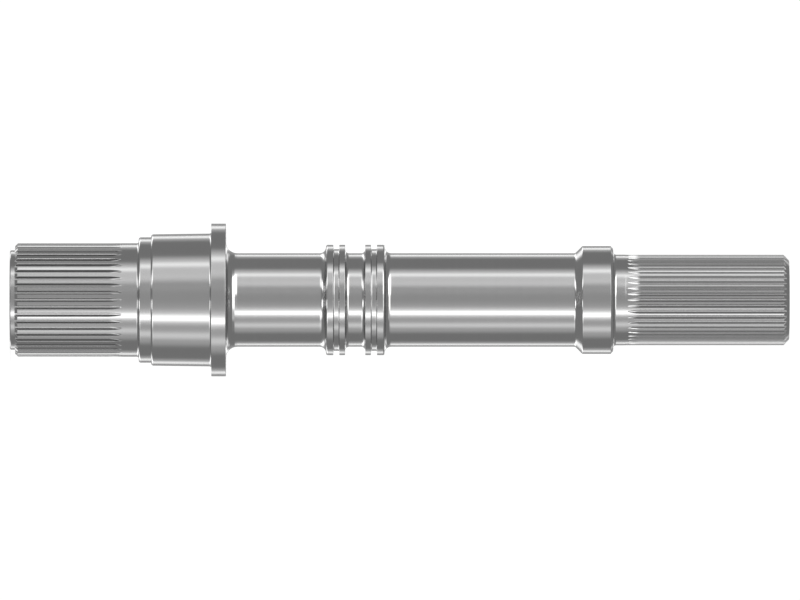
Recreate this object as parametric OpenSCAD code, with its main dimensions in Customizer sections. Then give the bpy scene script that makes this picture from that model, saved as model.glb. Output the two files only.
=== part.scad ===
// Gearbox output shaft, forged, turned, ground and splined from one piece of steel.
// It stands on its large splined end. The axis is Z, z = 0 is the face of the pilot under
// the large spline, and the small spline is at the top.

/* [Pilot] */
// Diameter of the pilot below the large spline
pilot_d = 43.6; // [40:0.1:45]
// Length of the pilot
pilot_l = 2.2; // [1:0.1:6]
// Chamfer on the pilot's edge
pilot_chamfer = 0.4; // [0.1:0.1:0.8]

/* [Large spline] */
// Teeth of the large spline
large_teeth = 48; // [40:1:52]
// Diameter over the tips of the large spline, and of the plain neck above it
large_outer_d = 49.8; // [49:0.1:51.2]
// Depth of the large spline's spaces
large_depth = 1.25; // [0.9:0.05:1.5]
// Width of a tip land of the large spline
large_tip_land = 1.45; // [1.2:0.05:1.6]
// Pressure angle of the large spline's flanks
large_pressure_angle = 20; // [18:0.5:24]
// Length of the large spline that is cut to full depth
large_full_l = 40.6; // [25:0.1:43]
// Length from the pilot to the stop ring, with the run-outs and the plain neck
large_end_l = 54.2; // [53:0.1:70]
// Fillet from the plain neck to the stop ring
ring_fillet_r = 0.8; // [0.2:0.1:1.6]

/* [Stop ring and bearing seat] */
// Diameter of the stop ring
ring_d = 55; // [53.6:0.1:56.6]
// Length of the stop ring
ring_l = 5.4; // [4:0.1:10]
// Rounding of the stop ring's lower edge
ring_edge_r = 0.9; // [0.2:0.1:1.6]
// Diameter of the bearing seat at its lower end
seat_low_d = 57.6; // [56:0.1:58.6]
// Diameter of the bearing seat at the flange
seat_high_d = 58.3; // [57.6:0.1:60]
// Length of the bearing seat
seat_l = 26.4; // [15:0.1:40]
// Rounding of the bearing seat's lower edge
seat_edge_r = 1.1; // [0.2:0.1:1.2]
// Fillet from the bearing seat to the flange
seat_fillet_r = 0.8; // [0.2:0.1:2]

/* [Flange] */
// Diameter of the flange
flange_d = 67; // [64:0.1:80]
// Thickness of the flange
flange_t = 6.4; // [4:0.1:12]
// Rounding of the flange's outer edges
flange_edge_r = 0.35; // [0.1:0.05:1]
// Fillet from the flange's upper face to the shaft
flange_fillet_r = 5; // [2:0.1:7]

/* [Shaft] */
// Diameter of the plain shaft
shaft_d = 41; // [38:0.1:43]
// Length of the plain shaft from the flange to the first seal carrier
lower_shaft_l = 43.9; // [20:0.1:60]
// Length of the plain shaft from the second seal carrier to the cone
upper_shaft_l = 83.5; // [40:0.1:120]

/* [Seal carriers] */
// Diameter of the lands of both seal carriers
land_d = 48.4; // [47.4:0.1:52]
// Diameter at the bottom of the seal grooves
groove_d = 44.6; // [43.4:0.1:46]
// Width of a seal groove
groove_w = 2.65; // [2:0.05:3.5]
// Width of the lowest land
first_land_w = 3.2; // [2.5:0.1:6]
// Width of the two inner lands
inner_land_w = 2.5; // [2:0.1:4]
// Width of the highest land
last_land_w = 3.4; // [2.5:0.1:6]
// Length of the plain shaft between the two seal carriers
carrier_gap = 8.85; // [6:0.05:16]
// Fillets in the bottom corners of the seal grooves
groove_fillet_r = 0.5; // [0.1:0.1:0.9]
// Rounding of the outermost edge of each carrier
land_edge_r = 0.8; // [0.2:0.1:1]
// Fillet under the first carrier
first_fillet_r = 2.8; // [0.5:0.1:2.8]
// Fillets on the inner sides of the carriers
inner_fillet_r = 1.8; // [0.5:0.1:2.4]
// Fillet above the second carrier
last_fillet_r = 2.8; // [0.5:0.1:2.8]

/* [Collar] */
// Diameter of the collar
collar_d = 47.3; // [45:0.1:48]
// Length of the collar at full diameter, with its chamfer
collar_l = 13.5; // [8:0.1:30]
// Blend at the foot of the cone below the collar
cone_blend_r = 1.5; // [0.3:0.1:3]
// Rounding where the cone meets the collar
cone_edge_r = 0.8; // [0.1:0.1:1.5]
// Chamfer on the collar's upper edge
collar_chamfer = 1.1; // [0.2:0.1:1.6]
// Fillet from the collar's upper face to the neck
neck_fillet_r = 1.3; // [0.4:0.1:1.6]

/* [Small spline] */
// Teeth of the small spline
small_teeth = 48; // [42:1:54]
// Diameter over the tips of the small spline
small_outer_d = 39.7; // [39:0.1:40.2]
// Diameter of the plain neck between the collar and the small spline
neck_d = 39.8; // [39:0.1:41]
// Depth of the small spline's spaces
small_depth = 1.15; // [0.8:0.05:1.3]
// Width of a tip land of the small spline
small_tip_land = 0.7; // [0.5:0.05:0.8]
// Pressure angle of the small spline's flanks
small_pressure_angle = 30; // [26:0.5:32]
// Length of the small spline that is cut to full depth, with the end chamfer
small_full_l = 65; // [40:0.1:66]
// Length from the collar to the end face, with the neck
small_end_l = 77.2; // [76:0.1:100]
// Length of the neck that stays plain above the collar before the teeth's own diameter starts
neck_l = 6.2; // [4:0.1:8]
// Chamfer on the end of the small spline
end_chamfer = 2.5; // [1:0.1:4]
// Rounding between the end chamfer and the end face
end_edge_r = 0.5; // [0.1:0.1:1]

/* [Tooling] */
// Radius of the cutter that leaves the run-outs of both splines
cutter_r = 16; // [8:0.5:18]
// Fillet in the root corners of the teeth
root_fillet_r = 0.2; // [0.1:0.05:0.25]
// Diameter of the centre holes in both end faces
centre_d = 10.6; // [8:0.1:12]
// Diameter of the drill below the centre holes' cones
centre_drill_d = 5; // [3:0.1:6]
// Depth of the centre holes to the shoulder of the drill's tip
centre_depth = 12; // [9:0.5:20]

/* [Hidden] */
$fn = 96;

// Largest angle between two points of a fillet's arc
arc_step = 11.25;
// The same in the root corners of the teeth
root_step = 35;
// Steps along one involute flank
flank_steps = 2;
// How far a space cutter stands out of the tips and of the end face
cutter_over = 0.3;
// Included angle of the centre holes, and of the drill's tip
centre_angle = 60;
drill_tip_angle = 118;

// Heights of the shoulders
ring_z = pilot_l + large_end_l;
seat_z = ring_z + ring_l;
flange_z = seat_z + seat_l;
lower_shaft_z = flange_z + flange_t;
first_carrier_z = lower_shaft_z + lower_shaft_l;
first_groove_z = first_carrier_z + first_land_w;
second_land_z = first_groove_z + groove_w;
gap_z = second_land_z + inner_land_w;
second_carrier_z = gap_z + carrier_gap;
second_groove_z = second_carrier_z + inner_land_w;
last_land_z = second_groove_z + groove_w;
upper_shaft_z = last_land_z + last_land_w;
cone_z = upper_shaft_z + upper_shaft_l;
collar_z = cone_z + (collar_d - shaft_d) / 2;
neck_z = collar_z + collar_l;
total_l = neck_z + small_end_l;

// Fillets and edges, held within the faces that they run into, with a little of each face left flat
least_flat = 0.1;
land_h = (land_d - shaft_d) / 2 - least_flat;
ring_edge = min(ring_edge_r, (ring_d - large_outer_d) / 2 - ring_fillet_r - least_flat);
seat_edge = min(seat_edge_r, (seat_low_d - ring_d) / 2 - least_flat);
flange_fillet = min(flange_fillet_r, (flange_d - shaft_d) / 2 - flange_edge_r - least_flat);
groove_fillet = min(groove_fillet_r, groove_w / 2 - least_flat, (land_d - groove_d) / 2 - least_flat);
first_fillet = min(first_fillet_r, land_h - land_edge_r);
inner_fillet = min(inner_fillet_r, land_h, carrier_gap / 2 - least_flat);
last_fillet = min(last_fillet_r, land_h - land_edge_r);
neck_fillet = min(neck_fillet_r, (collar_d - neck_d) / 2 - collar_chamfer - least_flat);

function unit(v) = v / norm(v);
function turned(v, angle) = [v.x * cos(angle) - v.y * sin(angle), v.x * sin(angle) + v.y * cos(angle)];

// A corner between two straight stretches, as an arc of the given radius that touches both.
function corner(before, at, after, radius, step) =
    let (
        u = unit(before - at),
        v = unit(after - at),
        half = acos(u * v) / 2,
        centre = at + unit(u + v) * radius / sin(half),
        start = at + u * radius / tan(half) - centre,
        sweep = (cross(u, v) > 0 ? -1 : 1) * (180 - 2 * half),
        steps = ceil(abs(sweep) / step)
    )
    [for (k = [0:steps]) centre + turned(start, sweep * k / steps)];

// An outline of [x, y, corner radius] points, with its corners rounded.
function rounded(path, step) = [
    for (i = [0:len(path) - 1])
        let (at = [path[i].x, path[i].y])
        if (path[i].z == 0) at
        else
            each corner(
                [path[i - 1].x, path[i - 1].y], at, [path[i + 1].x, path[i + 1].y], path[i].z, step
            )
];

// A centre hole as [radius, depth] points, from the axis at its bottom out to its mouth.
function centre_hole() =
    let (drill_r = centre_drill_d / 2)
    [
        [0, centre_depth + drill_r / tan(drill_tip_angle / 2)],
        [drill_r, centre_depth],
        [drill_r, (centre_d / 2 - drill_r) / tan(centre_angle / 2)],
        [centre_d / 2, 0],
    ];

// Half the outline of the turned blank, as [radius, z, corner radius].
function blank_path() =
    let (
        spline_r = large_outer_d / 2,
        root_r = spline_r - large_depth,
        ring_r = ring_d / 2,
        shaft_r = shaft_d / 2,
        land_r = land_d / 2,
        groove_r = groove_d / 2,
        flange_r = flange_d / 2,
        collar_r = collar_d / 2,
        tip_r = small_outer_d / 2
    )
    [
        for (p = centre_hole()) [p.x, p.y, 0],
        [pilot_d / 2 - pilot_chamfer, 0, 0],
        [pilot_d / 2, pilot_chamfer, 0],
        [pilot_d / 2, pilot_l, 0],
        [root_r, pilot_l, 0],
        [spline_r, pilot_l + large_depth, 0],
        [spline_r, ring_z, ring_fillet_r],
        [ring_r, ring_z, ring_edge],
        [ring_r, seat_z, 0],
        [seat_low_d / 2, seat_z, seat_edge],
        [seat_high_d / 2, flange_z, seat_fillet_r],
        [flange_r, flange_z, flange_edge_r],
        [flange_r, lower_shaft_z, flange_edge_r],
        [shaft_r, lower_shaft_z, flange_fillet],
        [shaft_r, first_carrier_z, first_fillet],
        [land_r, first_carrier_z, land_edge_r],
        [land_r, first_groove_z, 0],
        [groove_r, first_groove_z, groove_fillet],
        [groove_r, second_land_z, groove_fillet],
        [land_r, second_land_z, 0],
        [land_r, gap_z, 0],
        [shaft_r, gap_z, inner_fillet],
        [shaft_r, second_carrier_z, inner_fillet],
        [land_r, second_carrier_z, 0],
        [land_r, second_groove_z, 0],
        [groove_r, second_groove_z, groove_fillet],
        [groove_r, last_land_z, groove_fillet],
        [land_r, last_land_z, 0],
        [land_r, upper_shaft_z, land_edge_r],
        [shaft_r, upper_shaft_z, last_fillet],
        [shaft_r, cone_z, cone_blend_r],
        [collar_r, collar_z, cone_edge_r],
        [collar_r, neck_z - collar_chamfer, 0],
        [collar_r - collar_chamfer, neck_z, 0],
        [neck_d / 2, neck_z, neck_fillet],
        [neck_d / 2, neck_z + neck_l, 0],
        [tip_r, neck_z + neck_l, 0],
        [tip_r, total_l - end_chamfer, 0],
        [tip_r - end_chamfer, total_l, end_edge_r],
        for (i = [len(centre_hole()) - 1:-1:0])
            [centre_hole()[i].x, total_l - centre_hole()[i].y, 0],
    ];

// The angle that an involute has turned through where it reaches a radius.
function involute_turn(base_r, r) =
    let (angle = acos(base_r / r))
    tan(angle) * 180 / PI - angle;

// The outline of one tooth space, facing +X, from a little outside the tips down to the root.
function space_outline(teeth, outer_d, depth, tip_land, pressure_angle) =
    let (
        tip_r = outer_d / 2,
        // A spline's tips stand 0.9 modules outside its pitch circle.
        pitch_r = tip_r * teeth / (teeth + 1.8),
        base_r = pitch_r * cos(pressure_angle),
        high_r = tip_r + cutter_over,
        low_r = tip_r - depth,
        tip_half = tip_land / outer_d * 180 / PI,
        flank = [
            for (i = [0:flank_steps])
                let (
                    r = high_r + (low_r - high_r) * i / flank_steps,
                    turn = involute_turn(base_r, tip_r) - involute_turn(base_r, r),
                    half = 180 / teeth - tip_half - turn
                )
                [r * cos(half), r * sin(half), i < flank_steps ? 0 : root_fillet_r]
        ],
        mirrored = [for (i = [flank_steps:-1:0]) [flank[i].x, -flank[i].y, flank[i].z]]
    )
    rounded(concat(flank, mirrored), root_step);

// One tooth space: a straight cut from below z = 0 up to full_z, then the cutter's run-out.
// Both sweep the same section, drawn from the cutter's axis, so they meet without a step.
module space_cutter(outline, full_z) {
    axis_x = min([for (p = outline) p.x]) + cutter_r;
    section = [for (p = outline) [axis_x - p.x, p.y]];
    lift_angle = acos(min([for (p = section) p.x]) / cutter_r);
    translate([axis_x, 0, full_z])
        rotate([90, 0, 180]) {
            rotate([90, 0, 0])
                linear_extrude(height = full_z + cutter_over)
                    polygon(section);
            rotate_extrude(angle = lift_angle)
                polygon(section);
        }
}

// All the tooth spaces of a spline whose free end is at z = 0, with a space facing -Y.
module spline_spaces(teeth, outer_d, depth, tip_land, pressure_angle, full_z) {
    outline = space_outline(teeth, outer_d, depth, tip_land, pressure_angle);
    for (i = [0:teeth - 1])
        rotate([0, 0, -90 + 360 / teeth * i])
            space_cutter(outline, full_z);
}

module large_spline_spaces() {
    spline_spaces(
        large_teeth, large_outer_d, large_depth, large_tip_land, large_pressure_angle,
        pilot_l + large_full_l
    );
}

module small_spline_spaces() {
    translate([0, 0, total_l])
        mirror([0, 0, 1])
            spline_spaces(
                small_teeth, small_outer_d, small_depth, small_tip_land, small_pressure_angle,
                small_full_l
            );
}

module blank() {
    rotate_extrude()
        polygon(rounded(blank_path(), arc_step));
}

module output_shaft() {
    color("silver")
        difference() {
            blank();
            large_spline_spaces();
            small_spline_spaces();
        }
}

output_shaft();
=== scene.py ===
"""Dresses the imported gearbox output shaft: one turned, ground and splined piece of steel.

The shaft stands on its large splined end, its axis is Z, and the camera looks along +Y with the
shaft's axis across the image, the large spline on the left. Lengths are in metres. Angles are in
degrees, and what is called a turn is an angle in radians.
"""

import logging
import math
from collections.abc import Iterable
from dataclasses import asdict, dataclass, fields
from enum import Enum
from itertools import accumulate

import bmesh
import bpy
from mathutils import Matrix


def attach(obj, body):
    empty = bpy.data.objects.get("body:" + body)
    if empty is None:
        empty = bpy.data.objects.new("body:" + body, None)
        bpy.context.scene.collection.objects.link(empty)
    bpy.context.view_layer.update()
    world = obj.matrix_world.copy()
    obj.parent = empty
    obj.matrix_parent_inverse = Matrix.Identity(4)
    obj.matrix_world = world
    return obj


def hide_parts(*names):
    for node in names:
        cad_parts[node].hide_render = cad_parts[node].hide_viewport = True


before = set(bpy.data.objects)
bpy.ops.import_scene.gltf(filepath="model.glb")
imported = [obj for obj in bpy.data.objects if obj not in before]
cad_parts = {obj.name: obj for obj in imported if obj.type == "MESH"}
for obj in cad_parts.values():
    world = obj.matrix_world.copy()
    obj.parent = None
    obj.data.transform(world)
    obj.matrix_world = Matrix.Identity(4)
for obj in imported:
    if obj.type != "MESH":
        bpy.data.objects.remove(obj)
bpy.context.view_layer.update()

log = logging.getLogger("output_shaft")
MM = 0.001
NODE = "output_shaft"
PIECE = "shaft_steel"
FINISH_ATTRIBUTE = "finish"
# An outline's arc has so many steps at least, and a stretch longer than LONG_STRETCH has a row of
# points as near as CLOSE_ROW to each of its ends.
FEWEST_ARC_STEPS = 2
LONG_STRETCH = 0.9 * MM
CLOSE_ROW = 0.12 * MM

Point = tuple[float, float]


class Finish(Enum):
    """How a stretch of the steel was finished. The value is its place among the material slots."""

    TURNED = 0
    GROUND = 1
    # The tooth spaces: cut steel, painted darker than the rest as shade in the spaces between the teeth.
    CUT = 2
    BORED = 3


@dataclass(frozen=True)
class Corner:
    """A corner of the blank's outline, with the finish of the stretch that follows it."""

    r: float
    z: float
    rounding: float = 0.0
    finish: Finish = Finish.TURNED


@dataclass(frozen=True)
class OutlinePoint:
    """A point on the finished outline, with the finish of the stretch that follows it."""

    r: float
    z: float
    finish: Finish


def unit(x: float, y: float) -> Point:
    """Scales a direction in the plane to length one."""
    length = math.hypot(x, y)
    return x / length, y / length


def polar(r: float, turn: float) -> Point:
    """The point at a radius and a turn from the first axis."""
    return r * math.cos(turn), r * math.sin(turn)


def between(a: Point, b: Point, share: float) -> Point:
    """The point at a share of the way from one point to another."""
    return a[0] + (b[0] - a[0]) * share, a[1] + (b[1] - a[1]) * share


def grey(shade: float) -> tuple[float, float, float, float]:
    """A grey as an opaque colour."""
    return shade, shade, shade, 1.0


def corner_arc(before: Corner, at: Corner, after: Corner, step: float) -> list[Point]:
    """Rounds one corner of an outline.

    Args:
        before: the corner before it.
        at: the corner that is rounded, with its radius.
        after: the corner after it.
        step: the largest angle between two points of the arc, in degrees.

    Returns:
        The arc's points as (r, z), from the first stretch to the second.
    """
    ux, uz = unit(before.r - at.r, before.z - at.z)
    vx, vz = unit(after.r - at.r, after.z - at.z)
    half = math.acos(max(-1.0, min(1.0, ux * vx + uz * vz))) / 2
    bx, bz = unit(ux + vx, uz + vz)
    reach = at.rounding / math.sin(half)
    centre = (at.r + bx * reach, at.z + bz * reach)
    touch = at.rounding / math.tan(half)
    start = (at.r + ux * touch - centre[0], at.z + uz * touch - centre[1])
    turn = (-1 if ux * vz - uz * vx > 0 else 1) * (math.pi - 2 * half)
    count = max(FEWEST_ARC_STEPS, math.ceil(abs(math.degrees(turn)) / step))
    points = []
    for k in range(count + 1):
        cos, sin = polar(1.0, turn * k / count)
        points.append((
            centre[0] + start[0] * cos - start[1] * sin,
            centre[1] + start[0] * sin + start[1] * cos,
        ))
    return points


def smooth_outline(corners: list[Corner], step: float) -> list[OutlinePoint]:
    """Rounds an outline's corners, and puts a close row at both ends of each long stretch.

    Args:
        corners: the outline from one end to the other.
        step: the largest angle between two points of a rounding, in degrees.

    Returns:
        The outline's points. The close rows keep the shading of a long stretch straight.
    """
    points: list[OutlinePoint] = []
    for i, at in enumerate(corners):
        if at.rounding == 0:
            points.append(OutlinePoint(at.r, at.z, at.finish))
            continue
        arc = corner_arc(corners[i - 1], at, corners[i + 1], step)
        points.extend(OutlinePoint(r, z, at.finish) for r, z in arc)
    rows = [points[0]]
    for a, b in zip(points, points[1:]):
        length = math.hypot(b.r - a.r, b.z - a.z)
        if length > LONG_STRETCH and min(a.r, b.r) > 0:
            for share in (CLOSE_ROW / length, 1 - CLOSE_ROW / length):
                r, z = between((a.r, a.z), (b.r, b.z), share)
                rows.append(OutlinePoint(r, z, a.finish))
        rows.append(b)
    return rows


class NodeTree:
    """Short calls to add the nodes of one tree and to join them."""

    def __init__(self, tree: bpy.types.NodeTree) -> None:
        """Takes the tree that the nodes go in."""
        self.tree = tree

    def give(self, socket: bpy.types.NodeSocket, value: object) -> None:
        """Joins an input to another node's output, or sets it to a plain value.

        Args:
            socket: the input.
            value: the output or the value.
        """
        if isinstance(value, bpy.types.NodeSocket):
            self.tree.links.new(value, socket)
        else:
            socket.default_value = value

    def feed(self, node: bpy.types.Node, inputs: dict[str | int, object]) -> None:
        """Gives a node outputs or plain values, by the names or numbers of its inputs."""
        for key, value in inputs.items():
            self.give(node.inputs[key], value)

    def add(
        self, kind: str, inputs: dict[str | int, object] | None = None, **settings: object
    ) -> bpy.types.Node:
        """Adds a node.

        Args:
            kind: the node's type.
            inputs: outputs or plain values, by the names or numbers of its inputs.
            **settings: its own settings, by name.

        Returns:
            The node.
        """
        node = self.tree.nodes.new(kind)
        for name, value in settings.items():
            setattr(node, name, value)
        self.feed(node, inputs or {})
        return node

    def math(self, operation: str, *values: object) -> bpy.types.NodeSocket:
        """Adds a math node on outputs or numbers, and gives its output."""
        return self.add("ShaderNodeMath", dict(enumerate(values)), operation=operation).outputs[0]

    def whole(self, operation: str, *values: object) -> bpy.types.NodeSocket:
        """Adds a geometry tree's whole-number math node, and gives its output."""
        node = self.add("FunctionNodeIntegerMath", dict(enumerate(values)), operation=operation)
        return node.outputs[0]


def of_type(sockets: Iterable[bpy.types.NodeSocket], kind: str) -> list[bpy.types.NodeSocket]:
    """Those of a node's sockets that have a type, for a node that repeats its names by type."""
    return [socket for socket in sockets if socket.type == kind]


def new_group(name: str, kind: str, inputs: dict[str, str], outputs: dict[str, str]) -> NodeTree:
    """Starts a node group.

    Args:
        name: its name.
        kind: "Geometry" or "Shader".
        inputs: its inputs' types, by their names.
        outputs: its outputs' types, by their names.

    Returns:
        The group, which has its sockets and no nodes yet.
    """
    tree = bpy.data.node_groups.new(name, f"{kind}NodeTree")
    for way, sockets in (("INPUT", inputs), ("OUTPUT", outputs)):
        for socket, type_name in sockets.items():
            tree.interface.new_socket(
                name=socket, in_out=way, socket_type=f"NodeSocket{type_name}"
            )
    return NodeTree(tree)


class ShapeTrees:
    """The two geometry trees: one turns an outline round the axis, one repeats a tooth space."""

    def __init__(self, materials: list[bpy.types.Material]) -> None:
        """Builds both trees.

        Args:
            materials: what they put on the faces, in the order of the finishes.
        """
        self.materials = materials
        self.turned = self._turned_tree()
        self.toothed = self._toothed_tree()

    def _finish(self, nodes: NodeTree) -> bpy.types.NodeSocket:
        """Adds the node that reads the finish of a point or a face, and gives its output."""
        inputs = {"Name": FINISH_ATTRIBUTE}
        return nodes.add("GeometryNodeInputNamedAttribute", inputs, data_type="INT").outputs["Attribute"]

    def _end(
        self, nodes: NodeTree, made: bpy.types.NodeSocket, distance: bpy.types.NodeSocket
    ) -> None:
        """Welds what a tree has made, and ends it in Realize Instances and Set Material.

        Args:
            nodes: the tree.
            made: the geometry, with a finish on each face.
            distance: the weld's distance.
        """
        weld = nodes.add("GeometryNodeMergeByDistance", {"Geometry": made, "Distance": distance})
        shape = nodes.add("GeometryNodeRealizeInstances", {0: weld.outputs[0]})
        finish = self._finish(nodes)
        for kind in Finish:
            same = nodes.add("FunctionNodeCompare", data_type="INT", operation="EQUAL")
            for socket, value in zip(of_type(same.inputs, "INT"), (finish, kind.value)):
                nodes.give(socket, value)
            shape = nodes.add("GeometryNodeSetMaterial", {
                "Geometry": shape.outputs[0], "Selection": same.outputs[0],
                "Material": self.materials[kind.value],
            })
        nodes.add("NodeGroupOutput", {"Stretch": shape.outputs[0]})

    def _turned_tree(self) -> bpy.types.NodeTree:
        """Builds the tree that turns an outline in the XZ plane round Z, in a number of segments.

        Returns:
            The tree.
        """
        nodes = new_group(
            "turned_stretch", "Geometry",
            {"Outline": "Geometry", "Segments": "Int", "Start turn": "Float", "Weld distance": "Float"},
            {"Stretch": "Geometry"},
        )
        given = nodes.add("NodeGroupInput").outputs
        outline, segments = given["Outline"], given["Segments"]
        size = nodes.add("GeometryNodeAttributeDomainSize", {0: outline}, component="MESH")
        columns = nodes.whole("ADD", segments, 1)
        grid = nodes.add("GeometryNodeMeshGrid", {
            "Vertices X": size.outputs["Point Count"], "Vertices Y": columns,
        })
        index = nodes.add("GeometryNodeInputIndex").outputs[0]
        row = nodes.whole("DIVIDE_FLOOR", index, columns)
        column = nodes.whole("SUBTRACT", index, nodes.whole("MULTIPLY", row, columns))
        position = nodes.add("GeometryNodeInputPosition").outputs[0]
        place = nodes.add(
            "GeometryNodeSampleIndex", {"Geometry": outline, "Value": position, "Index": row},
            data_type="FLOAT_VECTOR", domain="POINT",
        )
        across, _, up = nodes.add("ShaderNodeSeparateXYZ", {0: place.outputs[0]}).outputs
        turned = nodes.math("DIVIDE", nodes.math("MULTIPLY", column, math.tau), segments)
        turn = nodes.math("ADD", turned, given["Start turn"])
        point = nodes.add("ShaderNodeCombineXYZ", {
            "X": nodes.math("MULTIPLY", across, nodes.math("COSINE", turn)),
            "Y": nodes.math("MULTIPLY", across, nodes.math("SINE", turn)),
            "Z": up,
        })
        face_row = nodes.whole("DIVIDE_FLOOR", index, segments)
        finish = nodes.add(
            "GeometryNodeSampleIndex",
            {"Geometry": outline, "Value": self._finish(nodes), "Index": face_row},
            data_type="INT", domain="POINT",
        )
        store = nodes.add(
            "GeometryNodeStoreNamedAttribute",
            {"Geometry": grid.outputs["Mesh"], "Name": FINISH_ATTRIBUTE, "Value": finish.outputs[0]},
            data_type="INT", domain="FACE",
        )
        moved = nodes.add("GeometryNodeSetPosition", {
            "Geometry": store.outputs[0], "Position": point.outputs[0],
        })
        self._end(nodes, moved.outputs[0], given["Weld distance"])
        return nodes.tree

    def _toothed_tree(self) -> bpy.types.NodeTree:
        """Builds the tree that repeats one tooth space round Z.

        Returns:
            The tree.
        """
        nodes = new_group(
            "toothed_stretch", "Geometry",
            {"Tooth space": "Geometry", "Teeth": "Int", "Start turn": "Float", "Weld distance": "Float"},
            {"Stretch": "Geometry"},
        )
        given = nodes.add("NodeGroupInput").outputs
        line = nodes.add("GeometryNodeMeshLine", {"Count": given["Teeth"], "Offset": (0, 0, 0)})
        index = nodes.add("GeometryNodeInputIndex").outputs[0]
        pitch = nodes.math("DIVIDE", math.tau, given["Teeth"])
        turn = nodes.math("ADD", nodes.math("MULTIPLY", index, pitch), given["Start turn"])
        spread = nodes.add("GeometryNodeInstanceOnPoints", {
            "Points": line.outputs[0], "Instance": given["Tooth space"],
            "Rotation": nodes.add("ShaderNodeCombineXYZ", {"Z": turn}).outputs[0],
        })
        # Instances can't be welded, so the spaces are made real before the weld too.
        spaces = nodes.add("GeometryNodeRealizeInstances", {0: spread.outputs[0]})
        self._end(nodes, spaces.outputs[0], given["Weld distance"])
        return nodes.tree

    def grow(
        self, seed: bpy.types.Mesh, tree: bpy.types.NodeTree, values: dict[str, object]
    ) -> bpy.types.Mesh:
        """Runs a tree on a small mesh.

        Args:
            seed: the outline or the tooth space.
            tree: one of the two trees.
            values: the tree's inputs by name.

        Returns:
            The finished stretch as a plain mesh.
        """
        carrier = bpy.data.objects.new("stretch_in_work", seed)
        bpy.context.scene.collection.objects.link(carrier)
        modifier = carrier.modifiers.new("stretch", "NODES")
        modifier.node_group = tree
        for item in tree.interface.items_tree:
            if item.item_type == "SOCKET" and item.in_out == "INPUT" and item.name in values:
                modifier[item.identifier] = values[item.name]
        bpy.context.view_layer.update()
        made = carrier.evaluated_get(bpy.context.evaluated_depsgraph_get())
        mesh = bpy.data.meshes.new_from_object(made)
        carrier.modifiers.clear()
        bpy.data.objects.remove(carrier)
        return mesh


class SpaceSide:
    """One side of a tooth space: a line from the middle of its root outwards, walked by length."""

    def __init__(self, points: list[Point]) -> None:
        """Takes the line's points as (outwards, sideways), and measures how far along each is."""
        self.points = points
        self.lengths = [0.0, *accumulate(math.dist(a, b) for a, b in zip(points, points[1:]))]

    def at(self, length: float) -> Point:
        """Finds the point at a length along the line.

        Args:
            length: how far along.

        Returns:
            The point as (outwards, sideways).
        """
        k = 1
        while k < len(self.points) - 1 and self.lengths[k] < length:
            k += 1
        share = (length - self.lengths[k - 1]) / (self.lengths[k] - self.lengths[k - 1])
        return between(self.points[k - 1], self.points[k], share)

    def reach(self, r: float) -> float:
        """Measures the line up to a distance from the shaft's axis.

        Args:
            r: the distance.

        Returns:
            The length, or that of the whole line where it doesn't come out so far.
        """
        for k in range(1, len(self.points)):
            near, far = math.hypot(*self.points[k - 1]), math.hypot(*self.points[k])
            if far >= r:
                share = max(0.0, (r - near) / (far - near))
                return self.lengths[k - 1] + (self.lengths[k] - self.lengths[k - 1]) * share
        return self.lengths[-1]

    def rise(self, height: float) -> float:
        """Measures the line up to its first point that stands above a height over its start.

        Args:
            height: the height.

        Returns:
            The length, or that of the whole line where it doesn't rise so far.
        """
        for point, length in zip(self.points, self.lengths):
            if point[0] - self.points[0][0] > height:
                return length
        return self.lengths[-1]


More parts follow.
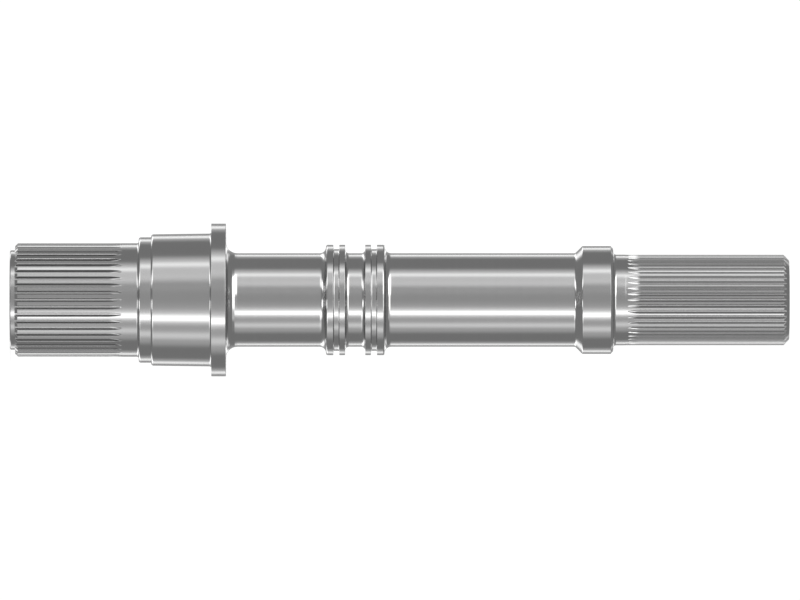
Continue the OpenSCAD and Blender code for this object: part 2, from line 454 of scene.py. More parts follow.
@dataclass(frozen=True)
class Spline:
    """One splined end. Its heights count from the free end's face, up the teeth."""

    teeth: int
    outer_d: float
    depth: float
    tip_land: float
    pressure_angle: float
    chamfer_h: float
    full_h: float
    face_z: float
    upwards: bool
    # By how many modules the tips' diameter is larger than the pitch circle's.
    modules_over_pitch: float = 1.8
    cutter_r: float = 16 * MM
    root_fillet_r: float = 0.2 * MM
    root_arc_step: float = 15
    edge_break: float = 0.03 * MM
    # How far a broken edge bulges from its chord towards the sharp corner, as a share.
    edge_bulge: float = 0.35
    flank_over_tip: float = 0.3 * MM
    flank_steps: int = 24
    # Rows along the spline, as shares of the end chamfer, as distances past it and before the
    # run-out, and as shares of the run-out.
    chamfer_rows: tuple[float, ...] = (0.03, 0.2, 0.45, 0.72, 1.0)
    after_chamfer: float = 0.3 * MM
    before_run_out: float = 0.2 * MM
    run_out_rows: tuple[float, ...] = (
        0.1, 0.2, 0.31, 0.42, 0.53, 0.63, 0.72, 0.8, 0.87, 0.925, 0.965, 0.99
    )
    # Columns across a section. The root's go on until the side has risen by root_rise of the
    # fillet's radius, and keep to root_room of the side. Those that don't fit there crowd into
    # crowd_room of what is above, and the flank's stand at shares of what is left.
    root_rise: float = 0.75
    root_room: float = 0.55
    crowd_columns: int = 3
    crowd_room: float = 0.2
    flank_columns: tuple[float, ...] = (0.33, 0.66, 0.96, 1.0)
    # The most that a broken edge takes of the side, and the land's first column of the land.
    edge_room: float = 0.25
    land_room: float = 1 / 3

    # How many columns the root has, however little room there is.
    ROOT_COLUMNS = 5

    @property
    def tip_r(self) -> float:
        """Radius over the tips."""
        return self.outer_d / 2

    @property
    def root_r(self) -> float:
        """Radius over the roots."""
        return self.tip_r - self.depth

    @property
    def start_h(self) -> float:
        """Height at which the end chamfer meets the roots."""
        return self.chamfer_h - self.depth

    @property
    def run_out(self) -> float:
        """Length over which the cutter leaves the shaft."""
        return math.sqrt(self.cutter_r**2 - (self.cutter_r - self.tip_r + self._root_x()) ** 2)

    @property
    def end_h(self) -> float:
        """Height at which the run-outs end in the plain neck."""
        return self.full_h + self.run_out

    @property
    def side_columns(self) -> int:
        """Columns from the middle of a space to the end of its flank, in each section."""
        return self.ROOT_COLUMNS + len(self.flank_columns) - 1

    def z(self, h: float) -> float:
        """The place on the shaft's axis of a height up the teeth."""
        return self.face_z + h if self.upwards else self.face_z - h

    def _half_turn(self, r: float) -> float:
        """Works out how wide a tooth space is, from the involute through the tip.

        Args:
            r: the radius at which it is measured.

        Returns:
            Half the turn that the space takes up.
        """
        pitch_r = self.tip_r * self.teeth / (self.teeth + self.modules_over_pitch)
        base_r = pitch_r * math.cos(math.radians(self.pressure_angle))

        def involute(radius: float) -> float:
            """The involute's own turn at a radius."""
            rolled = math.acos(min(1.0, base_r / radius))
            return math.tan(rolled) - rolled

        tip_half = self.tip_land / self.outer_d
        return math.pi / self.teeth - tip_half - (involute(self.tip_r) - involute(r))

    def _root_x(self) -> float:
        """Distance of a space's flat root from the axis."""
        return self.root_r * math.cos(self._half_turn(self.root_r))

    def full_side(self) -> list[Point]:
        """Draws one side of a tooth space at its full depth.

        Returns:
            Its points as (outwards, sideways), from the middle of the root to just past the tip.
        """
        flank = []
        for k in range(self.flank_steps + 1):
            r = self.root_r + (self.tip_r + self.flank_over_tip - self.root_r) * k / self.flank_steps
            flank.append(polar(r, self._half_turn(r)))
        foot, rest = flank[0], flank[self.flank_steps // 2]
        arc = corner_arc(
            Corner(foot[0], 0.0), Corner(*foot, self.root_fillet_r), Corner(*rest), self.root_arc_step
        )
        return [(foot[0], 0.0), *arc, *[p for p in flank if p[0] > arc[-1][0]]]

    def side(self, h: float) -> SpaceSide:
        """Draws one side of a tooth space at a height, past full_h lifted on the cutter's arc.

        Args:
            h: the height up the teeth.

        Returns:
            The side.
        """
        lift = max(0.0, h - self.full_h)
        cutter_x = self._root_x() + self.cutter_r
        return SpaceSide([
            (cutter_x - math.sqrt(max((cutter_x - x) ** 2 - lift**2, 0.0)), w)
            for x, w in self.full_side()
        ])

    def _columns(self, side: SpaceSide, crossing: float, top: float) -> list[float]:
        """Places the columns of a section along the side of a space.

        The columns of the root and of its rounding stay where they are for as long as they fit.
        Where the space closes up, the others crowd in just above those that still fit.

        Args:
            side: the side of the space.
            crossing: its length up to the outer radius.
            top: its length up to the broken edge.

        Returns:
            How far along the side each column is, in order.
        """
        flat, rounded = side.lengths[1], side.rise(self.root_rise * self.root_fillet_r)
        held = min(rounded, self.root_room * crossing)
        columns = [s for s in (0.0, flat / 2, flat, (flat + rounded) / 2, rounded) if s <= held]
        for left_out in range(self.ROOT_COLUMNS - len(columns), 0, -1):
            share = self.crowd_room * (1 - left_out / self.crowd_columns)
            columns.append(held + (top - held) * share)
        last = columns[-1]
        return sorted(columns + [last + (top - last) * share for share in self.flank_columns])

    def section(self, h: float) -> list[Point]:
        """Draws one section across half a pitch.

        Args:
            h: its height up the teeth.

        Returns:
            The section as (outwards, sideways), from the middle of a space to the middle of the
            next tooth.
        """
        outer = self.tip_r - max(0.0, self.chamfer_h - h)
        side = self.side(h)
        crossing = side.reach(outer)
        edge = min(self.edge_break, self.edge_room * crossing)
        corner = side.at(crossing)
        points = [side.at(s) for s in self._columns(side, crossing, crossing - edge)]
        land_turn = math.atan2(corner[1], corner[0]) + edge / outer
        chord = between(points[-1], polar(outer, land_turn), 0.5)
        points.append(between(chord, corner, self.edge_bulge))
        half_pitch = math.pi / self.teeth
        support = min(self.edge_break / outer, (half_pitch - land_turn) * self.land_room)
        turns = (land_turn, land_turn + support, (land_turn + half_pitch) / 2, half_pitch)
        return points + [polar(outer, turn) for turn in turns]

    def heights(self) -> list[float]:
        """Places the sections, close together where the end chamfer and the run-outs bend.

        Returns:
            The sections' heights up the teeth.
        """
        return [
            *(self.start_h + self.depth * share for share in self.chamfer_rows),
            self.chamfer_h + self.after_chamfer,
            self.full_h - self.before_run_out,
            self.full_h,
            *(self.full_h + self.run_out * share for share in self.run_out_rows),
        ]


class ToothSpace:
    """One pitch of a spline as an open mesh, with the middle of a tooth space facing +X."""

    def __init__(self, spline: Spline, ring_steps: int) -> None:
        """Builds the rows and the faces between them.

        Args:
            spline: the spline.
            ring_steps: how many edges the plain rings at both ends have in one pitch.
        """
        self.spline = spline
        self.ring_steps = ring_steps
        self.vertices: list[tuple[float, float, float]] = []
        self.faces: list[tuple[int, ...]] = []
        self.finishes: list[int] = []
        rows = [self._section(h) for h in spline.heights()]
        for low, high in zip(rows, rows[1:]):
            self._quads(low, high)
        self._lace(self._ring(spline.start_h, spline.root_r), rows[0], Finish.TURNED)
        self._lace(rows[-1], self._ring(spline.end_h, spline.tip_r), Finish.GROUND)

    def _row(self, h: float, points: list[Point]) -> list[int]:
        """Adds a row of vertices.

        Args:
            h: its height up the teeth.
            points: its points across the space.

        Returns:
            The vertices' numbers.
        """
        first = len(self.vertices)
        self.vertices.extend((x, y, self.spline.z(h)) for x, y in points)
        return list(range(first, len(self.vertices)))

    def _ring(self, h: float, r: float) -> list[int]:
        """Adds one pitch of a plain ring.

        Args:
            h: its height up the teeth.
            r: its radius.

        Returns:
            The vertices' numbers.
        """
        pitch = math.tau / self.spline.teeth
        shares = [k / self.ring_steps - 0.5 for k in range(self.ring_steps + 1)]
        return self._row(h, [polar(r, pitch * share) for share in shares])

    def _section(self, h: float) -> list[int]:
        """Adds a section across the whole pitch, and gives its vertices' numbers."""
        half = self.spline.section(h)
        return self._row(h, [(x, -w) for x, w in reversed(half[1:])] + half)

    def _turn(self, vertex: int) -> float:
        """The turn of a vertex round the axis."""
        return math.atan2(self.vertices[vertex][1], self.vertices[vertex][0])

    def _quads(self, low: list[int], high: list[int]) -> None:
        """Fills between two sections, with the cut finish, painted darker as shade, inside the space.

        Args:
            low: the lower section.
            high: the upper section.
        """
        middle, cut = len(low) // 2, self.spline.side_columns
        for k in range(len(low) - 1):
            self.faces.append((low[k], low[k + 1], high[k + 1], high[k]))
            inside = middle - cut <= k < middle + cut
            self.finishes.append((Finish.CUT if inside else Finish.GROUND).value)

    def _lace(self, low: list[int], high: list[int], finish: Finish) -> None:
        """Fills between two rows of different lengths with triangles, in the order of their turns.

        Args:
            low: the lower row.
            high: the upper row.
            finish: the triangles' finish.
        """
        i = j = 0
        low_end, high_end = len(low) - 1, len(high) - 1
        while i < low_end or j < high_end:
            if j == high_end or (i < low_end and self._turn(low[i + 1]) <= self._turn(high[j + 1])):
                self.faces.append((low[i], low[i + 1], high[j]))
                i += 1
            else:
                self.faces.append((low[i], high[j + 1], high[j]))
                j += 1
            self.finishes.append(finish.value)

    def mesh(self) -> bpy.types.Mesh:
        """Makes the mesh.

        Returns:
            The mesh, with its finish on each face.
        """
        mesh = bpy.data.meshes.new("tooth_space")
        mesh.from_pydata(self.vertices, [], self.faces)
        finish = mesh.attributes.new(FINISH_ATTRIBUTE, "INT", "FACE")
        finish.data.foreach_set("value", self.finishes)
        return mesh


@dataclass(frozen=True)
class OutputShaft:
    """The whole shaft, from the pilot's face up: its steps, the two splines and the centre holes."""

    # The pilot and the large spline.
    pilot_d: float = 43.6 * MM
    pilot_l: float = 2.2 * MM
    pilot_chamfer: float = 0.4 * MM
    large_outer_d: float = 49.8 * MM
    large_depth: float = 1.25 * MM
    large_tip_land: float = 1.45 * MM
    large_pressure_angle: float = 20
    large_full_l: float = 40.6 * MM
    large_end_l: float = 54.2 * MM
    # The stop ring, the bearing seat and the flange.
    ring_fillet_r: float = 0.8 * MM
    ring_d: float = 55 * MM
    ring_l: float = 5.4 * MM
    ring_edge_r: float = 0.9 * MM
    seat_low_d: float = 57.6 * MM
    seat_high_d: float = 58.3 * MM
    seat_l: float = 26.4 * MM
    seat_edge_r: float = 1.1 * MM
    seat_fillet_r: float = 0.8 * MM
    flange_d: float = 67 * MM
    flange_t: float = 6.4 * MM
    flange_edge_r: float = 0.15 * MM
    flange_fillet_r: float = 5 * MM
    # The plain shaft, the two seal ring carriers and their grooves.
    shaft_d: float = 41 * MM
    lower_shaft_l: float = 43.9 * MM
    upper_shaft_l: float = 83.5 * MM
    land_d: float = 48.4 * MM
    groove_d: float = 44.6 * MM
    groove_w: float = 2.65 * MM
    first_land_w: float = 3.2 * MM
    inner_land_w: float = 2.5 * MM
    last_land_w: float = 3.4 * MM
    carrier_gap: float = 8.85 * MM
    land_edge_r: float = 0.8 * MM
    first_fillet_r: float = 2.8 * MM
    inner_fillet_r: float = 1.8 * MM
    groove_fillet_r: float = 0.5 * MM
    last_fillet_r: float = 2.8 * MM
    edge_break: float = 0.12 * MM
    # The cone, the collar and the neck.
    collar_d: float = 47.3 * MM
    collar_l: float = 13.5 * MM
    cone_blend_r: float = 1.5 * MM
    cone_edge_r: float = 0.8 * MM
    collar_chamfer: float = 1.1 * MM
    neck_fillet_r: float = 1.3 * MM
    neck_d: float = 39.8 * MM
    # The small spline.
    small_outer_d: float = 39.7 * MM
    small_depth: float = 1.15 * MM
    small_tip_land: float = 0.7 * MM
    small_pressure_angle: float = 30
    small_full_l: float = 65 * MM
    small_end_l: float = 77.2 * MM
    end_chamfer: float = 2.5 * MM
    end_edge_r: float = 0.5 * MM
    neck_blend_l: float = 0.6 * MM
    # Both splines: how many teeth they have, and the turn at which a tooth space faces the camera.
    teeth: int = 48
    space_turn: float = -math.pi / 2
    # The centre holes.
    centre_d: float = 10.6 * MM
    centre_drill_d: float = 5 * MM
    centre_depth: float = 12 * MM
    centre_angle: float = 60
    drill_tip_angle: float = 118
    # How the mesh is divided, shaded and welded.
    arc_step: float = 12.9
    crease_angle: float = 36
    segments: int = 144
    weld_distance: float = 0.001 * MM
    shortest_edge: float = 0.0001 * MM

    @property
    def step_heights(self) -> list[float]:
        """Adds up the lengths along the body.

        Returns:
            The heights at which its steps end, from the foot to the collar's upper face.
        """
        return list(accumulate((
            self.pilot_l + self.large_end_l, self.ring_l, self.seat_l, self.flange_t,
            self.lower_shaft_l, self.first_land_w, self.groove_w, self.inner_land_w,
            self.carrier_gap, self.inner_land_w, self.groove_w, self.last_land_w,
            self.upper_shaft_l, (self.collar_d - self.shaft_d) / 2, self.collar_l,
        )))

    @property
    def total_l(self) -> float:
        """Length of the whole shaft."""
        return self.step_heights[-1] + self.small_end_l

    @property
    def large_spline(self) -> Spline:
        """Gathers the sizes of the spline at the foot of the shaft.

        Returns:
            The spline.
        """
        return Spline(
            teeth=self.teeth, outer_d=self.large_outer_d, depth=self.large_depth,
            tip_land=self.large_tip_land, pressure_angle=self.large_pressure_angle,
            chamfer_h=self.pilot_l + self.large_depth, full_h=self.pilot_l + self.large_full_l,
            face_z=0.0, upwards=True,
        )

    @property
    def small_spline(self) -> Spline:
        """Gathers the sizes of the spline at the head of the shaft.

        Returns:
            The spline.
        """
        return Spline(
            teeth=self.teeth, outer_d=self.small_outer_d, depth=self.small_depth,
            tip_land=self.small_tip_land, pressure_angle=self.small_pressure_angle,
            chamfer_h=self.end_chamfer, full_h=self.small_full_l, face_z=self.total_l,
            upwards=False,
        )

    def _centre_hole(self) -> list[Point]:
        """Draws a centre hole.

        Returns:
            Its points as (radius, depth), from its bottom on the axis out to its mouth.
        """
        drill_r = self.centre_drill_d / 2
        mouth_r = self.centre_d / 2
        return [
            (0.0, self.centre_depth + drill_r / math.tan(math.radians(self.drill_tip_angle / 2))),
            (drill_r, self.centre_depth),
            (drill_r, (mouth_r - drill_r) / math.tan(math.radians(self.centre_angle / 2))),
            (mouth_r, 0.0),
        ]

    def foot_outline(self) -> list[Corner]:
        """Draws the foot.

        Returns:
            Its corners, from the lower centre hole out to the roots of the large spline.
        """
        hole = [Corner(r, d, 0.0, Finish.BORED) for r, d in self._centre_hole()[:-1]]
        return [
            *hole,
            Corner(self.centre_d / 2, 0.0),
            Corner(self.pilot_d / 2 - self.pilot_chamfer, 0.0, self.edge_break),
            Corner(self.pilot_d / 2, self.pilot_chamfer, self.edge_break),
            Corner(self.pilot_d / 2, self.pilot_l),
            Corner(self.large_spline.root_r, self.pilot_l),
        ]

    def body_outline(self) -> list[Corner]:
        """Draws the body.

        Returns:
            Its corners, from the run-outs of the large spline up to those of the small one.
        """
        (
            ring_z, seat_z, flange_z, shaft_z, carrier_z, groove_z, groove_top_z, gap_z,
            high_carrier_z, high_groove_z, high_groove_top_z, upper_shaft_z, cone_z, collar_z,
            neck_z,
        ) = self.step_heights
        shaft_r, land_r, groove_r = self.shaft_d / 2, self.land_d / 2, self.groove_d / 2
        ground, turned = Finish.GROUND, Finish.TURNED
        edge = self.edge_break
        large, small = self.large_spline, self.small_spline
        collar_r, chamfer = self.collar_d / 2, self.collar_chamfer
        run_out_z = small.z(small.end_h)
        return [
            Corner(large.tip_r, large.z(large.end_h), 0.0, ground),
            Corner(large.tip_r, ring_z, self.ring_fillet_r, turned),
            Corner(self.ring_d / 2, ring_z, self.ring_edge_r, ground),
            Corner(self.ring_d / 2, seat_z, 0.0, turned),
            Corner(self.seat_low_d / 2, seat_z, self.seat_edge_r, ground),
            Corner(self.seat_high_d / 2, flange_z, self.seat_fillet_r, turned),
            Corner(self.flange_d / 2, flange_z, self.flange_edge_r, turned),
            Corner(self.flange_d / 2, shaft_z, self.flange_edge_r, turned),
            Corner(shaft_r, shaft_z, self.flange_fillet_r, turned),
            Corner(shaft_r, carrier_z, self.first_fillet_r, turned),
            Corner(land_r, carrier_z, self.land_edge_r, ground),
            Corner(land_r, groove_z, edge, turned),
            Corner(groove_r, groove_z, self.groove_fillet_r, turned),
            Corner(groove_r, groove_top_z, self.groove_fillet_r, turned),
            Corner(land_r, groove_top_z, edge, ground),
            Corner(land_r, gap_z, edge, turned),
            Corner(shaft_r, gap_z, self.inner_fillet_r, turned),
            Corner(shaft_r, high_carrier_z, self.inner_fillet_r, turned),
            Corner(land_r, high_carrier_z, edge, ground),
            Corner(land_r, high_groove_z, edge, turned),
            Corner(groove_r, high_groove_z, self.groove_fillet_r, turned),
            Corner(groove_r, high_groove_top_z, self.groove_fillet_r, turned),
            Corner(land_r, high_groove_top_z, edge, ground),
            Corner(land_r, upper_shaft_z, self.land_edge_r, turned),
            Corner(shaft_r, upper_shaft_z, self.last_fillet_r, turned),
            Corner(shaft_r, cone_z, self.cone_blend_r, turned),
            Corner(collar_r, collar_z, self.cone_edge_r, ground),
            Corner(collar_r, neck_z - chamfer, edge, turned),
            Corner(collar_r - chamfer, neck_z, edge, turned),
            Corner(self.neck_d / 2, neck_z, self.neck_fillet_r, turned),
            Corner(self.neck_d / 2, run_out_z - 2 * self.neck_blend_l, 0.0, turned),
            Corner(small.tip_r, run_out_z - self.neck_blend_l, 0.0, ground),
            Corner(small.tip_r, run_out_z - edge, 0.0, ground),
            Corner(small.tip_r, run_out_z, 0.0, ground),
        ]

    def head_outline(self) -> list[Corner]:
        """Draws the head.

        Returns:
            Its corners, from the end chamfer of the small spline in to the upper centre hole.
        """
        small = self.small_spline
        hole = [
            Corner(r, self.total_l - d, 0.0, Finish.BORED) for r, d in reversed(self._centre_hole())
        ]
        return [
            Corner(small.root_r, small.z(small.start_h)),
            Corner(small.tip_r - self.end_chamfer, self.total_l, self.end_edge_r),
            *hole,
        ]

    def _outline_mesh(self, corners: list[Corner]) -> bpy.types.Mesh:
        """Makes an outline into a row of edges.

        Args:
            corners: the outline.

        Returns:
            The edges in the XZ plane, with the finish on their points.
        """
        points = smooth_outline(corners, self.arc_step)
        mesh = bpy.data.meshes.new("outline")
        mesh.from_pydata(
            [(p.r, 0.0, p.z) for p in points], [(k, k + 1) for k in range(len(points) - 1)], []
        )
        finish = mesh.attributes.new(FINISH_ATTRIBUTE, "INT", "POINT")
        finish.data.foreach_set("value", [p.finish.value for p in points])
        return mesh

    def _stretches(self, trees: ShapeTrees) -> list[bpy.types.Mesh]:
        """Grows the parts of the shaft.

        Args:
            trees: the geometry trees.

        Returns:
            The three turned stretches and the two splines, open where they meet.
        """
        turned = {
            "Segments": self.segments, "Start turn": self.space_turn - math.pi / self.teeth,
            "Weld distance": self.weld_distance,
        }
        toothed = {
            "Teeth": self.teeth, "Start turn": self.space_turn,
            "Weld distance": self.weld_distance,
        }
        stretches = [
            trees.grow(self._outline_mesh(corners), trees.turned, turned)
            for corners in (self.foot_outline(), self.body_outline(), self.head_outline())
        ]
        for spline in (self.large_spline, self.small_spline):
            space = ToothSpace(spline, self.segments // self.teeth)
            stretches.append(trees.grow(space.mesh(), trees.toothed, toothed))
        return stretches

    def _close(self, bm: bmesh.types.BMesh) -> None:
        """Welds the stretches, turns their faces outwards and keeps the sharp edges sharp.

        Args:
            bm: all the stretches.
        """
        bmesh.ops.remove_doubles(bm, verts=bm.verts, dist=self.weld_distance)
        bmesh.ops.dissolve_degenerate(bm, edges=bm.edges, dist=self.shortest_edge)
        bmesh.ops.recalc_face_normals(bm, faces=bm.faces)
        log.info("open edges: %d", sum(len(edge.link_faces) != 2 for edge in bm.edges))
        for face in bm.faces:
            face.smooth = True
        for edge in bm.edges:
            edge.smooth = edge.calc_face_angle(0.0) <= math.radians(self.crease_angle)

    def build(self, trees: ShapeTrees) -> bpy.types.Object:
        """Joins the stretches into one closed piece.

        Args:
            trees: the geometry trees.

        Returns:
            The shaft, at the origin.
        """
        bm = bmesh.new()
        for stretch in self._stretches(trees):
            # Each stretch numbers the materials in its own order, and the piece in that of Finish.
            order = [trees.materials.index(m) if m else 0 for m in stretch.materials]
            slots = [order[face.material_index] for face in stretch.polygons]
            stretch.polygons.foreach_set("material_index", slots)
            bm.from_mesh(stretch)
            bpy.data.meshes.remove(stretch)
        self._close(bm)
        mesh = bpy.data.meshes.new(PIECE)
        bm.to_mesh(mesh)
        bm.free()
        for material in trees.materials:
            mesh.materials.append(material)
        mesh.attributes.remove(mesh.attributes[FINISH_ATTRIBUTE])
        piece = bpy.data.objects.new(PIECE, mesh)
        bpy.context.scene.collection.objects.link(piece)
        log.info("%s: %d triangles", PIECE, sum(len(face.vertices) - 2 for face in mesh.polygons))
        return piece


@dataclass
class SteelEffects:
    """The shader groups that all the steel finishes share."""

    ring_detail: float = 2.0
    patch_scale: float = 0.17
    grain_detail: float = 3.0

    def __post_init__(self) -> None:
        """Builds both groups."""
        self.rings = self._rings()
        self.grain = self._grain()

    def _rings(self) -> bpy.types.NodeTree:
        """Builds fine marks that run round the axis, as a tool or a wheel leaves them.

        Returns:
            The group. Height has the marks themselves, and Mask has wider bands of them.
        """
        nodes = new_group(
            "machining_rings", "Shader", {"Vector": "Vector", "Pitch": "Float"},
            {"Height": "Float", "Mask": "Float"},
        )
        given, out = nodes.add("NodeGroupInput").outputs, nodes.add("NodeGroupOutput")
        x, y, z = nodes.add("ShaderNodeSeparateXYZ", {0: given["Vector"]}).outputs
        squares = nodes.math("ADD", nodes.math("MULTIPLY", x, x), nodes.math("MULTIPLY", y, y))
        along = nodes.math("ADD", nodes.math("SQRT", squares), z)
        marks = nodes.math("DIVIDE", along, given["Pitch"])
        for name, scale in (("Height", 1.0), ("Mask", self.patch_scale)):
            noise = nodes.add(
                "ShaderNodeTexNoise", {"W": marks, "Scale": scale, "Detail": self.ring_detail},
                noise_dimensions="1D",
            )
            nodes.feed(out, {name: noise.outputs[0]})
        return nodes.tree

    def _grain(self) -> bpy.types.NodeTree:
        """Builds soft patches, where oil and handling have left the steel duller or brighter.

        Returns:
            The group.
        """
        nodes = new_group(
            "steel_grain", "Shader", {"Vector": "Vector", "Scale": "Float"}, {"Mask": "Float"}
        )
        given = nodes.add("NodeGroupInput").outputs
        noise = nodes.add(
            "ShaderNodeTexNoise",
            {"Vector": given["Vector"], "Scale": given["Scale"], "Detail": self.grain_detail},
            noise_dimensions="3D",
        )
        nodes.add("NodeGroupOutput", {"Mask": noise.outputs[0]})
        return nodes.tree


@dataclass(frozen=True)
class SteelFinish:
    """One finish of the steel."""

    name: str
    shade: float
    shade_spread: float
    roughness: float
    roughness_spread: float
    ring_pitch: float
    ring_height: float
    grain_scale: float = 260.0

    def material(self, effects: SteelEffects) -> bpy.types.Material:
        """Builds the finish as a material.

        Args:
            effects: the groups that the finishes share.

        Returns:
            The material.
        """
        material = bpy.data.materials.new(self.name)
        material.use_nodes = True
        nodes = NodeTree(material.node_tree)
        place = nodes.add("ShaderNodeTexCoord").outputs["Object"]
        rings = nodes.add(
            "ShaderNodeGroup", {"Vector": place, "Pitch": self.ring_pitch}, node_tree=effects.rings
        ).outputs
        grain = nodes.add(
            "ShaderNodeGroup", {"Vector": place, "Scale": self.grain_scale}, node_tree=effects.grain
        ).outputs
        mean = nodes.math("MULTIPLY", nodes.math("ADD", rings["Mask"], grain["Mask"]), 0.5)
        colour = nodes.add("ShaderNodeMix", {"Factor": mean}, data_type="RGBA")
        shades = (self.shade - self.shade_spread, self.shade + self.shade_spread)
        for socket, shade in zip(of_type(colour.inputs, "RGBA"), shades):
            nodes.give(socket, grey(shade))
        roughness = nodes.add("ShaderNodeMapRange", {
            "Value": mean,
            "To Min": self.roughness - self.roughness_spread,
            "To Max": self.roughness + self.roughness_spread,
        })
        bump = nodes.add("ShaderNodeBump", {
            "Height": rings["Height"], "Distance": self.ring_height,
        })
        nodes.feed(material.node_tree.nodes["Principled BSDF"], {
            "Metallic": 1.0,
            "Base Color": of_type(colour.outputs, "RGBA")[0],
            "Roughness": roughness.outputs[0],
            "Normal": bump.outputs[0],
        })
        return material


FINISHES: dict[Finish, SteelFinish] = {
    Finish.TURNED: SteelFinish(
        name="turned_steel", shade=0.56, shade_spread=0.012, roughness=0.15,
        roughness_spread=0.02, ring_pitch=0.3 * MM, ring_height=0.0004 * MM,
    ),
    Finish.GROUND: SteelFinish(
        name="ground_steel", shade=0.56, shade_spread=0.01, roughness=0.145,
        roughness_spread=0.015, ring_pitch=0.12 * MM, ring_height=0.0001 * MM,
    ),
    # The tooth spaces' steel: its shade of 0.47, below the 0.56 of the rest, is painted shade for the
    # dimness deep in the spaces between the teeth.
    Finish.CUT: SteelFinish(
        name="cut_steel_and_painted_shade", shade=0.47, shade_spread=0.012, roughness=0.15,
        roughness_spread=0.015, ring_pitch=0.5 * MM, ring_height=0.0001 * MM,
    ),
    Finish.BORED: SteelFinish(
        name="bored_steel", shade=0.5, shade_spread=0.02, roughness=0.22,
        roughness_spread=0.04, ring_pitch=0.2 * MM, ring_height=0.0008 * MM,
    ),
}


@dataclass(frozen=True)
class SoftBox:
    """A soft light far away, which fills an angle around the axis from -Y and one above level.

    Half of an angle's softness lies inside its half width, where the light starts to fade, and
    half outside, where it ends.
    """

    around: float
    around_half: float
    around_soft: float
    above: float
    above_half: float
    above_soft: float
    strength: float


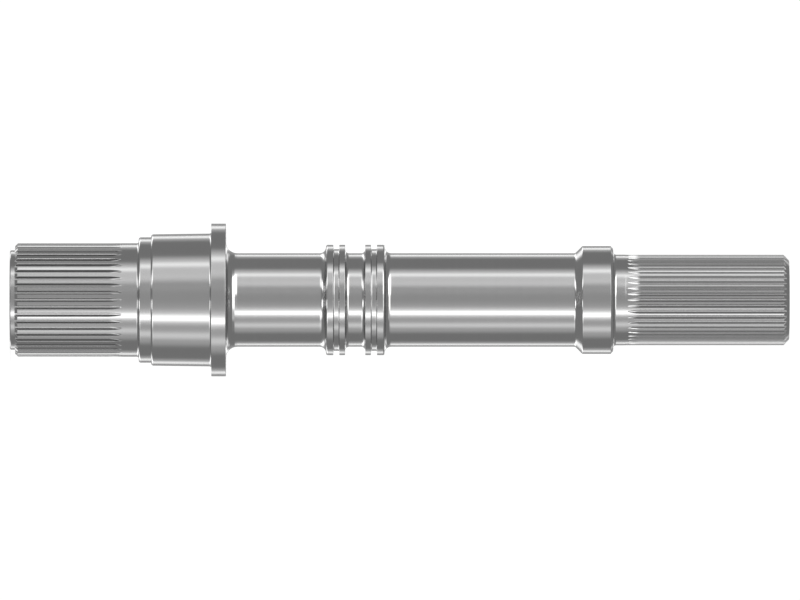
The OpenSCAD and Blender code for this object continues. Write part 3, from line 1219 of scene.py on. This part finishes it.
@dataclass(frozen=True)
class Studio:
    """The camera, the lights and the floor."""

    frame_width: float = 350.8 * MM
    camera_distance: float = 12.0
    look_at_z: float = 170.93 * MM
    sensor: float = 36.0
    clip_near: float = 0.1
    clip_far: float = 48.0
    floor_r: float = 60 * MM
    floor_sides: int = 96
    floor_drop: float = 0.05 * MM
    floor_shade: float = 0.25
    floor_roughness: float = 0.9
    floor_glow: float = 0.8
    backdrop: float = 1.05
    base_light: float = 0.27
    boxes: tuple[SoftBox, ...] = (
        # In front and level: the strips of light along the shaft.
        SoftBox(32, 4.5, 8, -6, 30, 20, 1.5),
        SoftBox(31, 11, 14, -6, 30, 20, 0.42),
        SoftBox(20, 42, 20, 0, 30, 24, 0.16),
        SoftBox(30, 20, 24, 0, 24, 24, 0.14),
        SoftBox(66, 6, 10, 0, 24, 24, 0.42),
        SoftBox(71, 16, 16, 0, 24, 24, 0.27),
        SoftBox(-57, 22, 16, 0, 30, 24, 0.55),
        SoftBox(-65, 4, 8, 0, 30, 24, 0.7),
        SoftBox(-30, 11, 16, 0, 30, 24, 0.16),
        # In front, above level: the fillets and chamfers that face up the shaft.
        SoftBox(-40, 25, 12, 29, 20, 10, 2.6),
        SoftBox(4, 22, 16, 31, 12, 12, 2.0),
        SoftBox(42, 14, 12, 38, 10, 10, 0.5),
        # In front, below level: those that face down it.
        SoftBox(-46, 12, 10, -30, 18, 12, 1.0),
        SoftBox(43, 9, 8, -30, 18, 12, 1.3),
        SoftBox(68, 14, 14, -22, 14, 12, 0.3),
        SoftBox(-48, 12, 8, -54, 12, 8, 2.6),
        SoftBox(12, 11, 8, -54, 12, 8, 3.0),
        # Behind: the rims that the grazing view shows at the upper and lower outline.
        SoftBox(180, 10, 4, 14, 6, 6, 1.1),
        SoftBox(180, 27, 8, 31, 6, 6, 0.95),
        SoftBox(143.5, 6, 8, -12, 18, 10, 0.85),
        SoftBox(-143.5, 6, 8, -12, 18, 10, 0.95),
        SoftBox(139, 12, 10, -12, 18, 10, 0.25),
        SoftBox(-139, 12, 10, -12, 18, 10, 0.25),
        SoftBox(180, 30, 8, 0, 26, 20, 0.12),
        SoftBox(149, 11, 8, -20, 12, 10, 1.1),
        SoftBox(-149, 11, 8, -20, 12, 10, 1.1),
    )

    def camera(self) -> None:
        """Sets the camera: level, from -Y, turned so that the shaft's axis runs to the right."""
        data = bpy.data.cameras.new("camera")
        data.sensor_width = self.sensor
        data.lens = self.sensor * self.camera_distance / self.frame_width
        data.clip_start, data.clip_end = self.clip_near, self.clip_far
        camera = bpy.data.objects.new("camera", data)
        bpy.context.scene.collection.objects.link(camera)
        camera.matrix_world = Matrix((
            (0, -1, 0, 0),
            (0, 0, -1, -self.camera_distance),
            (1, 0, 0, self.look_at_z),
            (0, 0, 0, 1),
        ))
        bpy.context.scene.camera = camera

    def floor(self) -> None:
        """Adds a small round pale floor just under the shaft, which is seen from above only."""
        mesh = bpy.data.meshes.new("floor")
        bm = bmesh.new()
        bmesh.ops.create_circle(bm, cap_ends=True, segments=self.floor_sides, radius=self.floor_r)
        bm.to_mesh(mesh)
        bm.free()
        material = bpy.data.materials.new("pale_floor")
        material.use_nodes = True
        nodes = NodeTree(material.node_tree)
        shader = material.node_tree.nodes["Principled BSDF"]
        nodes.feed(shader, {
            "Base Color": grey(self.floor_shade),
            "Roughness": self.floor_roughness,
            "Specular IOR Level": 0.0,
            "Emission Color": grey(1.0),
            "Emission Strength": self.floor_glow,
        })
        seen = nodes.add("ShaderNodeMixShader", {
            0: nodes.add("ShaderNodeNewGeometry").outputs["Backfacing"],
            1: shader.outputs[0],
            2: nodes.add("ShaderNodeBsdfTransparent").outputs[0],
        })
        nodes.feed(material.node_tree.nodes["Material Output"], {"Surface": seen.outputs[0]})
        mesh.materials.append(material)
        floor = bpy.data.objects.new("floor", mesh)
        floor.location.z = -self.floor_drop
        bpy.context.scene.collection.objects.link(floor)
        floor.visible_glossy = False

    def _box_group(self) -> bpy.types.NodeTree:
        """Builds the group that works out how much light comes from one soft box in a direction.

        Returns:
            The group. Its inputs are the direction and then the fields of a SoftBox, by name.
        """
        names = ["seen_around", "seen_above", *(field.name for field in fields(SoftBox))]
        nodes = new_group("soft_box", "Shader", dict.fromkeys(names, "Float"), {"Light": "Float"})
        given = nodes.add("NodeGroupInput").outputs
        parts = []
        for way in ("around", "above"):
            away = nodes.math("SUBTRACT", given[f"seen_{way}"], given[way])
            half, soft = given[f"{way}_half"], nodes.math("MULTIPLY", given[f"{way}_soft"], 0.5)
            part = nodes.add(
                "ShaderNodeMapRange",
                {
                    "Value": nodes.math("ABSOLUTE", nodes.math("WRAP", away, 180.0, -180.0)),
                    "From Min": nodes.math("SUBTRACT", half, soft),
                    "From Max": nodes.math("ADD", half, soft),
                    "To Min": 1.0,
                    "To Max": 0.0,
                },
                interpolation_type="SMOOTHSTEP",
            )
            parts.append(part.outputs[0])
        light = nodes.math("MULTIPLY", nodes.math("MULTIPLY", *parts), given["strength"])
        nodes.add("NodeGroupOutput", {"Light": light})
        return nodes.tree

    def lights(self) -> None:
        """Lights the shaft with soft boxes all round, in front of a white backdrop."""
        world = bpy.data.worlds.new("studio")
        bpy.context.scene.world = world
        world.use_nodes = True
        nodes = NodeTree(world.node_tree)
        world.node_tree.nodes.clear()
        direction = nodes.add("ShaderNodeTexCoord").outputs["Generated"]
        x, y, z = nodes.add("ShaderNodeSeparateXYZ", {0: direction}).outputs
        around = nodes.math("DEGREES", nodes.math("ARCTAN2", x, nodes.math("MULTIPLY", y, -1.0)))
        above = nodes.math("DEGREES", nodes.math("ARCSINE", z))
        group = self._box_group()
        total: object = self.base_light
        for box in self.boxes:
            inputs = {"seen_around": around, "seen_above": above, **asdict(box)}
            part = nodes.add("ShaderNodeGroup", inputs, node_tree=group)
            total = nodes.math("ADD", total, part.outputs["Light"])
        studio, white = (
            nodes.add("ShaderNodeBackground", {"Color": grey(1.0), "Strength": strength}).outputs[0]
            for strength in (total, self.backdrop)
        )
        path = nodes.add("ShaderNodeLightPath").outputs
        plain = nodes.math("MAXIMUM", path["Is Camera Ray"], path["Is Diffuse Ray"])
        seen = nodes.add("ShaderNodeMixShader", {0: plain, 1: studio, 2: white})
        nodes.add("ShaderNodeOutputWorld", {"Surface": seen.outputs[0]})

    def set_up(self) -> None:
        """Puts up the whole studio, with plain colours rather than a film look."""
        bpy.context.scene.view_settings.view_transform = "Standard"
        self.camera()
        self.floor()
        self.lights()


def main() -> None:
    """Builds the shaft, dresses it and sets it in the studio."""
    logging.basicConfig(level=logging.INFO, format="%(name)s: %(message)s")
    effects = SteelEffects()
    materials = [FINISHES[kind].material(effects) for kind in Finish]
    shaft = OutputShaft()
    piece = shaft.build(ShapeTrees(materials))
    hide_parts(NODE)
    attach(piece, "root")
    Studio().set_up()


if __name__ == "__main__":
    main()
